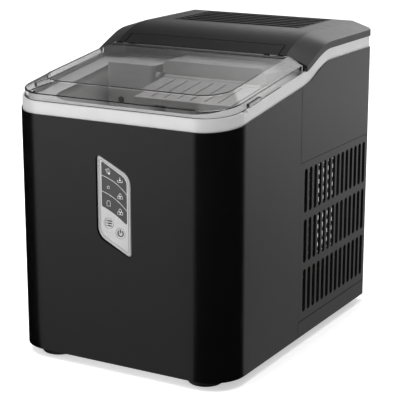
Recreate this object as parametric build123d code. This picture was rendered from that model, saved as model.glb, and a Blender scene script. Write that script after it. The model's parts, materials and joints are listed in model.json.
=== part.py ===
from build123d import *
import math
import os

# Countertop ice maker. Millimetres, +Z up, +Y to the back, origin under the middle of the body.

# Whole body
WIDTH = 226.0
DEPTH = 301.0
HEIGHT = 290.4
FOOT_HEIGHT = 8.0
FOOT_R = 16.0
FOOT_EDGE_R = 2.0
FOOT_X = 79.0
FOOT_Y = 126.0
FRONT_RADIUS = 33.0
REAR_RADIUS = 6.0
WALL = 2.5
SEAM_Y = -9.1
SEAM_GAP = 0.6
SIDE = WIDTH / 2
FRONT = -DEPTH / 2
REAR = DEPTH / 2

# Trim band around the body, rising to the back
RIM_FRONT_Z = 241.0
RIM_SLOPE = 0.134
BAND_HEIGHT = 11.0
BAND_INSET = 1.0
BAND_WALL = 2.4
BAND_NOTCH_Y = (-119.5, -112.5)
BAND_NOTCH_DEPTH = 2.4
BAND_REAR_BOTTOM = 266.4
BAND_REAR_TOP = 277.3

# Top cover behind the lid
COVER_FRONT_Y = 0.8
COVER_CREST = 91.0
COVER_SHOULDER_Z = 283.5
HINGE_STRIP_HALF_X = 83.0
HINGE_STRIP_REAR_Y = 14.5
HINGE_STRIP_THICK = 1.6
HINGE_STRIP_GAP = 0.9
GRILLE_HALF_X = 70.0
GRILLE_FRONT_Y = 72.0
GRILLE_REAR_Y = 146.4
GRILLE_PITCH = 11.3
GRILLE_SLOT = 6.0

# Lid
LID_GAP = 0.5
LID_WALL = 2.2
LID_SKIRT = 3.6
LID_FRONT_SKIRT = 1.2
LID_SHOULDER = 6.5
LID_RISE = 14.0
LID_TOP_HALF_X = 95.0
LID_TOP_FRONT = 22.6
LID_TOP_RADIUS = 25.0
LID_REAR_Y = -1.0
LID_TAB_OUT = 2.9
LID_TAB_Y = (41.5, 63.5)
LID_TAB_Z = (0.5, 4.0)
HINGE_Y = -3.2
HINGE_Z = 272.3
HINGE_PIN_R = 1.2
HINGE_BARREL_R = 2.6
HINGE_BARREL_X = (76.0, 84.0)
HINGE_EAR = 5.2
HINGE_EAR_GAP = 0.4

# Basin, basket and ice-making module
LEDGE_DROP = 4.0
LEDGE_THICK = 2.0
BASIN_HALF_X = 88.0
BASIN_FRONT_Y = -127.0
BASIN_REAR_Y = 18.0
BASIN_FLOOR_Z = 104.0
BASIN_WALL = 2.0
BASIN_RADIUS = 28.0
BASKET_HALF_X = 87.4
BASKET_FRONT_Y = -126.4
BASKET_REAR_Y = -46.0
BASKET_Z = (150.0, 217.0)
BASKET_WALL = 1.6
TRAY_X = (-12.0, 82.0)
TRAY_AXIS_Y = -6.0
TRAY_AXIS_Z = 238.0
TRAY_DEPTH = 35.0
TRAY_FLOOR_Z = 206.0
TRAY_RIM_Z = 236.0
SHOVEL_X = (-15.5, 83.0)
SHOVEL_AXIS_Y = -36.0
SHOVEL_AXIS_Z = 250.0
SHOVEL_LENGTH = 54.5
SHOVEL_SLAT_PITCH = 13.5
STUB_R = 2.0
STUB_BORE_R = 2.05
FRAME_LEFT_X = (-19.0, -17.0)
FRAME_RIGHT_X = (84.5, 86.5)
FINGER_COUNT = 8
FINGER_PITCH = 11.6
FINGER_R = 4.0
EVAPORATOR_Z = 250.0

# Side vent panels
VENT_FRONT_Y = -8.5
VENT_REAR_Y = 146.0
VENT_Z = (24.0, 178.0)
VENT_CORNER = 7.0
VENT_SLOTS = 14
VENT_FIRST_Y = 3.1
VENT_PITCH = 10.32
VENT_SLOT_WIDTH = 6.6
VENT_GAP = 0.5
VENT_ROWS_Z = (171.3, 122.6, 73.9)
VENT_SLOT_LENGTH = 42.3

# Front control panel
PANEL_MID_Z = 155.7
PANEL_HALF_X = 17.0
PANEL_TALL = 45.3
PANEL_SHORT = 28.3
PANEL_GAP = 1.0
PANEL_RECESS = 1.4
PANEL_Y = FRONT + PANEL_RECESS
PANEL_SHARP_R = 2.5
PANEL_BLUNT_R = 13.0
WINDOW_X = (-12.8, 13.0)
WINDOW_LEFT_Z = (-1.3, 39.5)
WINDOW_RIGHT_Z = (-15.9, 25.6)
WINDOW_SAG = 1.5
WINDOW_BLUNT_R = 9.0
BUTTON_R = 4.7
BUTTON_DISH = 0.4
BUTTON_DISH_R = 30.0
SELECT_XZ = (-5.9, 139.4)
POWER_XZ = (6.1, 131.7)

# Machinery
FAN_Y = 66.0
FAN_Z = 125.0
FAN_R = 35.0
COIL_X = 102.0
COIL_Y = (29.5, 84.5)
COIL_Z = 76.0
COIL_PITCH = 9.0
COIL_PASSES = 12
COMPRESSOR_XY = (-48.0, 84.0)
COMPRESSOR_R = 45.0
DRAIN_XZ = (60.0, 32.0)
INLET_XZ = (-60.0, 45.0)

RIM_ANGLE = math.atan(RIM_SLOPE)
RIM_PLANE = Plane(
    origin=(0, FRONT, RIM_FRONT_Z),
    x_dir=(1, 0, 0),
    z_dir=(0, -math.sin(RIM_ANGLE), math.cos(RIM_ANGLE)),
)
BAND_INNER = BAND_INSET + BAND_WALL
LID_INSET = BAND_INNER + LID_GAP
FAR = 400.0


def box(x_span, y_span, z_span):
    """Block between two corners, each axis given as (low, high)."""
    size = [high - low for low, high in (x_span, y_span, z_span)]
    middle = [(high + low) / 2 for low, high in (x_span, y_span, z_span)]
    return Pos(*middle) * Box(*size)


def rod_x(x_span, y, z, radius):
    """Round bar along X."""
    return Pos(sum(x_span) / 2, y, z) * Rot(0, 90, 0) * Cylinder(radius, x_span[1] - x_span[0])


def rod_y(y_span, x, z, radius):
    """Round bar along Y."""
    return Pos(x, sum(y_span) / 2, z) * Rot(90, 0, 0) * Cylinder(radius, y_span[1] - y_span[0])


def rod_z(z_span, x, y, radius):
    """Round bar along Z."""
    return Pos(x, y, sum(z_span) / 2) * Cylinder(radius, z_span[1] - z_span[0])


def tube(points, radius, bend):
    """Round tube along straight runs joined by arcs."""
    path = FilletPolyline(*points, radius=bend)
    start = Plane(origin=path @ 0, z_dir=path % 0)
    return sweep(start * Circle(radius), path=path)


def plan_face(inset):
    """Body outline seen from above: large front corners, small rear ones."""
    face = Rectangle(WIDTH - 2 * inset, DEPTH - 2 * inset)
    face = fillet(face.vertices().group_by(Axis.Y)[0], FRONT_RADIUS - inset)
    return fillet(face.vertices().group_by(Axis.Y)[-1], max(REAR_RADIUS - inset, 1.0))


def plan_prism(inset, z_span):
    """The body outline raised between two heights."""
    return Pos(0, 0, z_span[0]) * extrude(plan_face(inset), z_span[1] - z_span[0])


def across(profile):
    """A profile in the Y-Z plane, extruded well past both sides of the body."""
    return extrude(Plane.YZ * profile, FAR / 2, both=True)


def under_curve(curve, first, last):
    """Face in Y-Z below a front-to-back curve."""
    skirt = Polyline(last, (last[0], -20), (first[0], -20), first)
    return make_face(curve + skirt)


def rim_z(y):
    """Height of the sloping rim plane at a place along the body."""
    return RIM_FRONT_Z + RIM_SLOPE * (y - FRONT)


def below_band():
    """Everything under the lower edge of the trim band."""
    first = (FRONT - 2, rim_z(FRONT - 2) - BAND_HEIGHT)
    foot = (SEAM_Y, rim_z(SEAM_Y) - BAND_HEIGHT)
    crest = (60.0, BAND_REAR_BOTTOM)
    last = (REAR + 2, BAND_REAR_BOTTOM)
    bend = Spline(foot, (9.0, 252.6), (28.0, 260.4), (44.0, 265.2), crest,
                  tangents=((1, RIM_SLOPE), (1, 0)))
    return across(under_curve(Line(first, foot) + bend + Line(crest, last), first, last))


def below_band_top():
    """Everything under the upper edge of the trim band."""
    first = (FRONT - 2, rim_z(FRONT - 2))
    foot = (-12.0, rim_z(-12.0))
    crest = (58.0, BAND_REAR_TOP)
    last = (REAR + 2, BAND_REAR_TOP)
    bend = Spline(foot, (5.0, 263.4), (25.0, 271.4), (42.0, 276.3), crest,
                  tangents=((1, RIM_SLOPE), (1, 0)))
    return across(under_curve(Line(first, foot) + bend + Line(crest, last), first, last))


BELOW_BAND = below_band()
BELOW_BAND_TOP = below_band_top()


def under_rim(depth):
    """Everything lower than the given depth below the rim plane."""
    return RIM_PLANE * Pos(0, 0, -FAR / 2 - depth) * Box(FAR * 2, FAR * 2, FAR)


def save(shape, name):
    """Write one sub-part."""
    shape.label = name
    export_step(shape, f"parts/{name}.step")


# ---------------------------------------------------------------- housings
def body_wall(y_span):
    """Stretch of the body's vertical wall below the band."""
    ring = plan_prism(0, (FOOT_HEIGHT, HEIGHT)) - plan_prism(WALL, (0, HEIGHT + 10))
    return (ring & box((-FAR, FAR), y_span, (0, FAR))) & BELOW_BAND


def panel_outline(grow):
    """Slanted control panel outline in X-Z, grown outwards all round."""
    tall = PANEL_TALL + grow
    short = PANEL_SHORT + grow
    half = PANEL_HALF_X + grow
    face = make_face(Polyline((-half, tall), (half, short), (half, -tall), (-half, -short), (-half, tall)))
    sharp = [v for v in face.vertices() if abs(v.Y) > short + 1]
    face = fillet(sharp, PANEL_SHARP_R + grow)
    blunt = [v for v in face.vertices() if abs(abs(v.Y) - short) < 0.01 and abs(abs(v.X) - half) < 0.01]
    return fillet(blunt, PANEL_BLUNT_R + grow)


def in_front(face, y_span, z_middle=PANEL_MID_Z):
    """A face drawn in X-Z, extruded between two depths of the body."""
    front_plane = Plane(origin=(0, y_span[1], z_middle), x_dir=(1, 0, 0), z_dir=(0, -1, 0))
    return extrude(front_plane * face, y_span[1] - y_span[0])


def front_housing():
    """Front wall and the front halves of both sides."""
    shell = body_wall((-FAR, SEAM_Y))
    for side in (-1, 1):
        web = [side * (SIDE - WALL - 1.9), side * (SIDE - WALL)]
        lip = [side * (SIDE - WALL - 1.9), side * (SIDE - WALL - 0.3)]
        shell += box(sorted(web), (SEAM_Y - 6, SEAM_Y), (12, 240))
        shell += box(sorted(lip), (SEAM_Y - 1, SEAM_Y + 5), (12, 240))
    shell -= in_front(panel_outline(PANEL_GAP), (FRONT - 1, FRONT + WALL + 3))
    return shell


def vent_outline(grow):
    """Side vent panel outline in Y-Z with rounded rear corners."""
    length = VENT_REAR_Y - VENT_FRONT_Y + 2 * grow
    height = VENT_Z[1] - VENT_Z[0] + 2 * grow
    middle = Pos((VENT_REAR_Y + VENT_FRONT_Y) / 2, sum(VENT_Z) / 2)
    face = middle * Rectangle(length, height)
    return fillet(face.vertices().group_by(Axis.X)[-1], VENT_CORNER + grow)


def beside(face, x_low, thickness):
    """A face drawn in Y-Z, extruded along +X from x_low."""
    return Pos(x_low, 0, 0) * extrude(Plane.YZ * face, thickness)


def rear_housing():
    """Rear wall and the frames around both side vents."""
    shell = body_wall((SEAM_Y + SEAM_GAP, FAR))
    opening = vent_outline(VENT_GAP) + Pos(VENT_FRONT_Y, sum(VENT_Z) / 2) * Rectangle(
        10, VENT_Z[1] - VENT_Z[0] + 2 * VENT_GAP
    )
    for x_low in (-SIDE - 1, SIDE - WALL - 1):
        shell -= beside(opening, x_low, WALL + 2)
    shell -= rod_y((REAR - 5, REAR + 1), *DRAIN_XZ, 9.2)
    x, z = INLET_XZ
    shell -= box((x - 14.2, x + 14.2), (REAR - 5, REAR + 1), (z - 10.2, z + 10.2))
    return shell


def side_vent(side):
    """Flush vent panel with three rows of upright rounded slots and a backing flange."""
    plate = beside(vent_outline(0), SIDE - 2.7, 2.5)
    flange = beside(vent_outline(3.5), SIDE - 4.4, 1.7) - beside(vent_outline(-3.0), SIDE - 5, 3)
    flange &= box((0, FAR), (SEAM_Y + 6, VENT_REAR_Y - 2), (0, FAR))
    slot = SlotOverall(VENT_SLOT_LENGTH, VENT_SLOT_WIDTH, rotation=90)
    slots = [
        Pos(VENT_FIRST_Y + VENT_PITCH * column, top - VENT_SLOT_LENGTH / 2) * slot
        for column in range(VENT_SLOTS)
        for top in VENT_ROWS_Z
    ]
    panel = plate + flange - beside(Sketch() + slots, SIDE - 6, 8)
    return panel if side > 0 else mirror(panel, about=Plane.YZ)


def trim_band():
    """Sloping trim ring with a finger notch in each side."""
    ring = plan_prism(BAND_INSET, (200, HEIGHT)) - plan_prism(BAND_INNER, (190, HEIGHT + 10))
    band = (ring & BELOW_BAND_TOP) - BELOW_BAND
    for side in (-1, 1):
        notch = box(sorted([side * (SIDE - 8), side * (SIDE + 1)]), BAND_NOTCH_Y, (-BAND_NOTCH_DEPTH, 20))
        notch = RIM_PLANE * Pos(0, -FRONT, 0) * notch
        band -= notch
    return band


def base_pan():
    """Floor plate that carries the machinery."""
    pan = plan_prism(WALL + 0.2, (FOOT_HEIGHT + 0.4, FOOT_HEIGHT + 3))
    rim = plan_prism(WALL + 0.2, (FOOT_HEIGHT + 3, FOOT_HEIGHT + 11))
    rim -= plan_prism(WALL + 1.8, (FOOT_HEIGHT, FOOT_HEIGHT + 20))
    clear = box((-FAR, FAR), (SEAM_Y - 7, REAR - 6), (FOOT_HEIGHT + 3, 60))
    return pan + (rim - clear)


def foot(x, y):
    """Round rubber foot, slightly tapered."""
    shape = Pos(x, y, (FOOT_HEIGHT + 0.4) / 2) * Cylinder(FOOT_R, FOOT_HEIGHT + 0.4)
    return fillet(shape.edges().group_by(Axis.Z)[0], FOOT_EDGE_R)


def housing_screws():
    """Pan-head screws in the underside."""
    places = [(-58, -133), (58, -133), (99.5, -121), (-99.5, -121), (-58, 133), (58, 133)]
    heads = [rod_z((FOOT_HEIGHT - 2.4, FOOT_HEIGHT + 0.4), x, y, 3.2) for x, y in places]
    return Compound(children=heads)


# ---------------------------------------------------------------- top cover
def cover_section(x, inset, drop):
    """Y-Z section of the top cover at one width: high in the middle, lower at the sides."""
    crest = abs(x) < SIDE - 10
    flat_z = (HEIGHT if crest else COVER_SHOULDER_Z) - drop
    nose_z = (275.4 if crest else 267.4) - drop
    nose_y = COVER_FRONT_Y + inset
    knee = (13.0 + inset, (281.5 if crest else 272.6) - drop)
    hip = (30.0, (287.4 if crest else 279.4) - drop)
    flat_start = (56.0, flat_z)
    rear_y = REAR - inset
    low = 262.0 - 40 * (drop > 0)
    outline = Line((nose_y, low), (nose_y, nose_z))
    outline += Spline((nose_y, nose_z), knee, hip, flat_start, tangents=((1, 0.45), (1, 0)))
    outline += Polyline(flat_start, (rear_y, flat_z), (rear_y, low), (nose_y, low))
    return Pos(x, 0, 0) * (Plane.YZ * make_face(outline))


def cover_block(inset, drop):
    """Solid top cover, lofted from side to side."""
    side = SIDE - inset
    crest = COVER_CREST - inset
    left = loft([cover_section(-side, inset, drop), cover_section(-crest, inset, drop)], ruled=True)
    middle = extrude(cover_section(-crest, inset, drop), 2 * crest, dir=(1, 0, 0))
    right = loft([cover_section(crest, inset, drop), cover_section(side, inset, drop)], ruled=True)
    return left + middle + right


def hinge_ears():
    """Small round lugs on the cover that hold the lid's hinge pins."""
    ears = []
    for side in (-1, 1):
        inner = HINGE_BARREL_X[0] - HINGE_EAR_GAP
        outer = HINGE_BARREL_X[1] + HINGE_EAR_GAP
        for low, high in ((inner - HINGE_EAR, inner), (outer, outer + HINGE_EAR)):
            span = sorted([side * low, side * high])
            ear = rod_x(span, HINGE_Y, HINGE_Z, HINGE_BARREL_R + 0.1)
            ear += box(span, (HINGE_Y, COVER_FRONT_Y + 1), (HINGE_Z - 2.7, HINGE_Z + 1.2))
            ears.append(ear)
    return ears


def cover_skin(gap, depth):
    """Outer layer of the cover's front slope, as wide as the hinge strip plus a gap."""
    half_x = HINGE_STRIP_HALF_X + gap
    zone = box((-half_x, half_x), (COVER_FRONT_Y - 1, HINGE_STRIP_REAR_Y + gap), (274.2 - gap, HEIGHT))
    return (cover_block(0, 0) - cover_block(depth, depth)) & zone


def hinge_strip():
    """Loose strip let into the cover's front slope, over the hinge."""
    return cover_skin(0, HINGE_STRIP_THICK)


def top_cover():
    """Dark cover over the machinery, with the vent opening and the lid's hinge lugs."""
    shell = cover_block(0, 0) - cover_block(WALL, WALL)
    shell &= plan_prism(0, (200, HEIGHT + 5))
    shell -= BELOW_BAND_TOP
    shell -= cover_skin(HINGE_STRIP_GAP, HINGE_STRIP_THICK + 0.1)
    shell -= box((-82, 88.5), (COVER_FRONT_Y - 1, COVER_FRONT_Y + WALL + 1), (250, 268))
    shell -= box((-GRILLE_HALF_X - 0.4, GRILLE_HALF_X + 0.4), (GRILLE_FRONT_Y - 0.4, GRILLE_REAR_Y + 0.4),
                 (HEIGHT - 6, HEIGHT + 1))
    for ear in hinge_ears():
        shell += ear
    pin_length = HINGE_BARREL_X[1] + HINGE_EAR + 1
    for side in (-1, 1):
        span = sorted([side * (HINGE_BARREL_X[0] - HINGE_EAR - 1), side * pin_length])
        shell -= rod_x(span, HINGE_Y, HINGE_Z, HINGE_PIN_R + 0.02)
    return shell


def lid_hinge_pins():
    """Steel pins through the cover's lugs and the lid's barrels."""
    low = HINGE_BARREL_X[0] - HINGE_EAR_GAP - HINGE_EAR + 0.2
    high = HINGE_BARREL_X[1] + HINGE_EAR_GAP + HINGE_EAR - 0.2
    pins = [rod_x(sorted([s * low, s * high]), HINGE_Y, HINGE_Z, HINGE_PIN_R) for s in (-1, 1)]
    return Compound(children=pins)


def top_vent_grille():
    """Louvre grille let into the top cover: long slots over lengthwise ribs."""
    y_span = (GRILLE_FRONT_Y, GRILLE_REAR_Y)
    x_span = (-GRILLE_HALF_X, GRILLE_HALF_X)
    plate = box(x_span, y_span, (HEIGHT - 3.9, HEIGHT - 0.4))
    flange = box((x_span[0] - 3, x_span[1] + 3), (y_span[0] - 3, y_span[1] + 1.2),
                 (HEIGHT - 3.9, HEIGHT - WALL - 0.1))
    grille = plate + flange
    rows = 6
    first = GRILLE_FRONT_Y + 8.5
    for row in range(rows):
        y = first + GRILLE_PITCH * row
        half = GRILLE_HALF_X - 4
        slot = box((-half, half), (y - GRILLE_SLOT / 2, y + GRILLE_SLOT / 2), (HEIGHT - 8, HEIGHT + 1))
        grille -= slot
    for column in range(-5, 6):
        x = column * 11.3
        grille += box((x - 0.8, x + 0.8), (y_span[0] + 3, y_span[1] - 3), (HEIGHT - 3.9, HEIGHT - 2.4))
    return grille


# ---------------------------------------------------------------- lid
def lid_face(half_x, front, radius, height):
    """Lid outline in the rim plane, running past the rear cut."""
    length = 170.0
    face = Pos(0, front + length / 2) * Rectangle(2 * half_x, length)
    face = fillet(face.vertices().group_by(Axis.Y)[0], radius)
    return Pos(0, 0, height) * face


def lid_block(inset, shoulder, top, low):
    """Solid lid shape: upright skirt, then sloping sides up to the flat top."""
    half_x = SIDE - LID_INSET - inset
    front = LID_INSET / math.cos(RIM_ANGLE) + inset
    radius = FRONT_RADIUS - LID_INSET - inset
    slant = inset * 0.55
    foot_face = lid_face(half_x, front, radius, low)
    skirt = extrude(foot_face, shoulder - low)
    lower = lid_face(half_x, front, radius, shoulder)
    upper = lid_face(LID_TOP_HALF_X - slant, LID_TOP_FRONT + slant, LID_TOP_RADIUS - slant, top)
    return skirt + loft([lower, upper], ruled=True)


def lid():
    """Clear one-piece lid with hinge barrels at the back and a finger tab at each side."""
    shell = lid_block(0, LID_SHOULDER, LID_RISE, -LID_SKIRT)
    shell -= lid_block(LID_WALL, LID_SHOULDER - 0.9, LID_RISE - LID_WALL, -LID_SKIRT - 1)
    shell -= box((-FAR, FAR), (-10, 36), (-20, -LID_FRONT_SKIRT))
    for side in (-1, 1):
        edge = SIDE - LID_INSET
        tab = box(sorted([side * (edge - 1.5), side * (edge + LID_TAB_OUT)]), LID_TAB_Y, LID_TAB_Z)
        shell += tab
    shell = RIM_PLANE * shell
    shell &= box((-FAR, FAR), (-FAR, LID_REAR_Y), (0, FAR))
    half = LID_TOP_HALF_X - 3
    rib = box((-half, half), (LID_REAR_Y - 2, LID_REAR_Y), (HINGE_Z - 2, HINGE_Z + 2))
    shell += rib
    for side in (-1, 1):
        barrel_span = sorted(side * x for x in HINGE_BARREL_X)
        low = HINGE_BARREL_X[0] - HINGE_EAR_GAP * 2 - HINGE_EAR
        high = HINGE_BARREL_X[1] + HINGE_EAR_GAP * 2 + HINGE_EAR
        notch = box(sorted([side * low, side * high]), (-6.7, 5), (250, 290))
        keep = box(barrel_span, (-FAR, FAR), (0, FAR))
        shell -= notch - keep
        barrel = rod_x(barrel_span, HINGE_Y, HINGE_Z, HINGE_BARREL_R)
        barrel += box(barrel_span, (-7.5, HINGE_Y), (HINGE_Z - 1.2, HINGE_Z + 1.2))
        shell += barrel
        shell -= rod_x([barrel_span[0] - 1, barrel_span[1] + 1], HINGE_Y, HINGE_Z, HINGE_PIN_R + 0.05)
    return shell


# ---------------------------------------------------------------- control panel
def window_face(grow):
    """Dark display window outline in X-Z."""
    left, right = WINDOW_X[0] - grow, WINDOW_X[1] + grow
    top_left = (left, WINDOW_LEFT_Z[1] + grow)
    top_right = (right, WINDOW_RIGHT_Z[1] + grow)
    low_right = (right, WINDOW_RIGHT_Z[0] - grow)
    low_left = (left, WINDOW_LEFT_Z[0] - grow)
    low_middle = ((left + right) / 2, (low_left[1] + low_right[1]) / 2 + WINDOW_SAG)
    sides = Polyline(low_left, top_left, top_right, low_right)
    bottom = ThreePointArc(low_right, low_middle, low_left)
    face = make_face([*sides.edges(), bottom.edge()])
    blunt = [v for v in face.vertices() if abs(v.X - right) < 0.01 and v.Y > 0]
    face = fillet(blunt, WINDOW_BLUNT_R)
    tight = [v for v in face.vertices() if abs(v.X - left) < 0.01 or (abs(v.X - right) < 0.01 and v.Y < 0)]
    return fillet(tight, 1.2)


def panel_bezel():
    """Silver frame of the control panel."""
    frame = in_front(panel_outline(0), (PANEL_Y, FRONT + 4.0))
    frame += in_front(panel_outline(2.5), (FRONT + WALL + 0.1, FRONT + 4.0))
    frame -= in_front(window_face(0.1), (FRONT - 1, FRONT + 6))
    for x, z in (SELECT_XZ, POWER_XZ):
        frame -= rod_y((FRONT - 1, FRONT + 6), x, z, BUTTON_R + 0.3)
    return frame


def display_window():
    """Clear dark window over the indicator symbols."""
    return in_front(window_face(0), (PANEL_Y + 0.4, FRONT + 3.6))


def button(x, z):
    """Round push button with a dished face."""
    cap = rod_y((PANEL_Y + 0.05, FRONT + 5.6), x, z, BUTTON_R)
    cap += rod_y((FRONT + 4.4, FRONT + 5.6), x, z, BUTTON_R + 1.1)
    return cap - Pos(x, PANEL_Y + BUTTON_DISH - BUTTON_DISH_R, z) * Sphere(BUTTON_DISH_R)


def display_board():
    """Circuit board behind the panel with two tactile switches."""
    y = FRONT + 9.0
    board = box((-18, 18), (y, y + 1.6), (108, 203))
    for x, z in (SELECT_XZ, POWER_XZ):
        board += box((x - 3, x + 3), (y - 2.0, y), (z - 3, z + 3))
        board += rod_y((y - 2.5, y - 2.0), x, z, 1.7)
    return board


# ---------------------------------------------------------------- basin and basket
def tub_face(grow):
    """Basin outline seen from above."""
    y_low, y_high = BASIN_FRONT_Y - grow, BASIN_REAR_Y + grow
    face = Pos(0, (y_low + y_high) / 2) * Rectangle(2 * (BASIN_HALF_X + grow), y_high - y_low)
    face = fillet(face.vertices().group_by(Axis.Y)[0], BASIN_RADIUS + grow)
    return fillet(face.vertices().group_by(Axis.Y)[-1], 6.0 + grow)


def tub_prism(grow, z_span):
    """The basin outline raised between two heights."""
    return Pos(0, 0, z_span[0]) * extrude(tub_face(grow), z_span[1] - z_span[0])


def water_basin():
    """Reservoir tub with the ledge that carries the lid."""
    tub = tub_prism(BASIN_WALL, (BASIN_FLOOR_Z, HEIGHT))
    ledge = plan_prism(BAND_INNER + 0.2, (200, HEIGHT))
    ledge &= box((-FAR, FAR), (FRONT, BASIN_REAR_Y + BASIN_WALL), (0, FAR))
    ledge -= under_rim(LEDGE_DROP + LEDGE_THICK)
    basin = (tub + ledge) & under_rim(LEDGE_DROP)
    basin -= tub_prism(0, (BASIN_FLOOR_Z + BASIN_WALL, HEIGHT + 5))
    basin -= box((-5, 45), (BASIN_REAR_Y - 1, BASIN_REAR_Y + 5), (241, 270))
    for x in (-76, 76):
        for y in (-96, -54):
            basin += rod_z((BASIN_FLOOR_Z + 1, BASKET_Z[0] - 0.3), x, y, 4)
    return basin


def basin_insulation():
    """Foam jacket around the reservoir."""
    block = tub_prism(4.5, (BASIN_FLOOR_Z - 4, 222))
    return block - tub_prism(BASIN_WALL + 0.3, (BASIN_FLOOR_Z - 0.3, 240))


def ice_basket():
    """Lift-out basket with drain slots in its floor and sides."""
    outline = []
    for grow in (0, -BASKET_WALL):
        y_low, y_high = BASKET_FRONT_Y - grow, BASKET_REAR_Y + grow
        face = Pos(0, (y_low + y_high) / 2) * Rectangle(2 * (BASKET_HALF_X + grow), y_high - y_low)
        face = fillet(face.vertices().group_by(Axis.Y)[0], BASIN_RADIUS + grow)
        outline.append(fillet(face.vertices().group_by(Axis.Y)[-1], 6.0 + grow))
    low, high = BASKET_Z
    basket = Pos(0, 0, low) * extrude(outline[0], high - low)
    basket -= Pos(0, 0, low + BASKET_WALL) * extrude(outline[1], high)
    for column in range(-5, 6):
        x = column * 13.5
        basket -= box((x - 2, x + 2), (-112, -58), (low - 1, low + 3))
        basket -= box((x - 2, x + 2), (BASKET_REAR_Y - 3, BASKET_REAR_Y + 1), (low + 14, high - 14))
    return basket


# ---------------------------------------------------------------- ice-making module
def evaporator_frame():
    """Two hanger plates and a tie bar that carry the tray and the shovel."""
    frame = box((FRAME_LEFT_X[0], FRAME_RIGHT_X[1]), (-4.5, -0.5), (240.5, 245))
    for span in (FRAME_LEFT_X, FRAME_RIGHT_X):
        frame += box(span, (-41, 4), (226, 249))
        frame += box(span, (-41, -33), (249, 254.5))
        bore = (span[0] - 1, span[1] + 1)
        frame -= rod_x(bore, TRAY_AXIS_Y, TRAY_AXIS_Z, STUB_BORE_R)
        frame -= rod_x(bore, SHOVEL_AXIS_Y, SHOVEL_AXIS_Z, STUB_BORE_R)
    return frame


def evaporator_plate():
    """Cold plate between the hanger plates."""
    return box((FRAME_LEFT_X[1] + 0.1, FRAME_RIGHT_X[0] - 0.1), (-31, -9), (241, 246))


def cooling_fingers():
    """Row of hanging fingers on which the bullet ice grows."""
    middle = (TRAY_X[0] + TRAY_X[1]) / 2
    fingers = []
    for index in range(FINGER_COUNT):
        x = middle + (index - (FINGER_COUNT - 1) / 2) * FINGER_PITCH
        finger = rod_z((218, 241), x, -19, FINGER_R)
        fingers.append(fillet(finger.edges().group_by(Axis.Z)[0], 2.5))
    return Compound(children=fingers)


def evaporator_coil():
    """Refrigerant tube looped over the cold plate."""
    z = EVAPORATOR_Z - 0.9
    points = [(30, 17, z), (30, -13, z), (78, -13, z), (78, -26, z), (-8, -26, z), (-8, -13, z),
              (12, -13, z), (12, 17, z)]
    return tube(points, 3.0, 5.0)


def evaporator_cover():
    """Pale cover over the evaporator, open below."""
    x_span, y_span, z_span = (-20.0, 87.0), (-32.5, 14.0), (249.2, 265.3)
    block = box(x_span, y_span, z_span)
    block = chamfer(block.edges().filter_by(Axis.Y).group_by(Axis.Z)[-1], 4.0)
    inner_x = (x_span[0] + 1.6, x_span[1] - 1.6)
    inner_y = (y_span[0] + 1.6, y_span[1] - 1.6)
    cavity = box(inner_x, inner_y, (240, z_span[1] - 1.6))
    cavity = chamfer(cavity.edges().filter_by(Axis.Y).group_by(Axis.Z)[-1], 3.5)
    return block - cavity - box((-5, 45), (8, 20), (240, 254))


def water_tray():
    """Tilting water trough under the fingers, with its pivot stubs."""
    front = TRAY_AXIS_Y + 1 - TRAY_DEPTH
    tray = box(TRAY_X, (front, TRAY_AXIS_Y + 1), (TRAY_FLOOR_Z, TRAY_RIM_Z))
    inner_x = (TRAY_X[0] + 1.6, TRAY_X[1] - 1.6)
    tray -= box(inner_x, (front + 1.6, TRAY_AXIS_Y - 0.6), (TRAY_FLOOR_Z + 1.6, 250))
    for span in ((TRAY_X[0], TRAY_X[0] + 1.6), (TRAY_X[1] - 1.6, TRAY_X[1])):
        tray += box(span, (TRAY_AXIS_Y - 4, TRAY_AXIS_Y + 1), (TRAY_RIM_Z - 2, TRAY_AXIS_Z + 2.2))
    tray += rod_x((-22.5, TRAY_X[0] + 1), TRAY_AXIS_Y, TRAY_AXIS_Z, STUB_R)
    tray += rod_x((TRAY_X[1] - 1, 87.2), TRAY_AXIS_Y, TRAY_AXIS_Z, STUB_R)
    return tray


def ice_shovel():
    """Slatted plate on a pivot rod, with its knob, that sweeps ice into the basket."""
    length = SHOVEL_LENGTH
    plate = box(SHOVEL_X, (-length, 0), (-1.2, 1.2))
    plate += box(SHOVEL_X, (-length, -length + 2), (-4, 1.2))
    for index in range(1, 7):
        x = SHOVEL_X[0] + index * SHOVEL_SLAT_PITCH + 1.5
        plate -= box((x - 0.7, x + 0.7), (-length + 6, -6), (-5, 5))
    shovel = Pos(0, SHOVEL_AXIS_Y, SHOVEL_AXIS_Z) * Rot(math.degrees(RIM_ANGLE), 0, 0) * plate
    shovel += rod_x(SHOVEL_X, SHOVEL_AXIS_Y, SHOVEL_AXIS_Z, 3.0)
    shovel += rod_x((-22, SHOVEL_X[0] + 1), SHOVEL_AXIS_Y, SHOVEL_AXIS_Z, STUB_R)
    shovel += rod_x((SHOVEL_X[1] - 1, 87.2), SHOVEL_AXIS_Y, SHOVEL_AXIS_Z, STUB_R)
    return shovel + rod_x((-24, -20), SHOVEL_AXIS_Y, SHOVEL_AXIS_Z, 4.2)


def drive_housing():
    """Cover over the tray motor at the left of the module."""
    shell = box((-80, -26), (-38, 6), (206, 260))
    shell = fillet(shell.edges().filter_by(Axis.Z), 6.0)
    inner = box((-78.2, -27.8), (-36.2, 4.2), (200, 258.2))
    inner = fillet(inner.edges().filter_by(Axis.Z), 4.2)
    shell = shell - inner - rod_y((-40, -34), -62, 232, 2.6)
    return shell - rod_x((-29, -24), TRAY_AXIS_Y, TRAY_AXIS_Z, 3.2)


def tray_motor():
    """Geared motor that tilts the tray."""
    motor = box((-62, -32), (-26, 2), (222, 252))
    return motor + rod_x((-33, -23), TRAY_AXIS_Y, TRAY_AXIS_Z, 2.4)


def ice_full_sensor():
    """Infra-red sensor looking over the basket."""
    return rod_y((-39.6, -33), -62, 232, 2.5)


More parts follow.
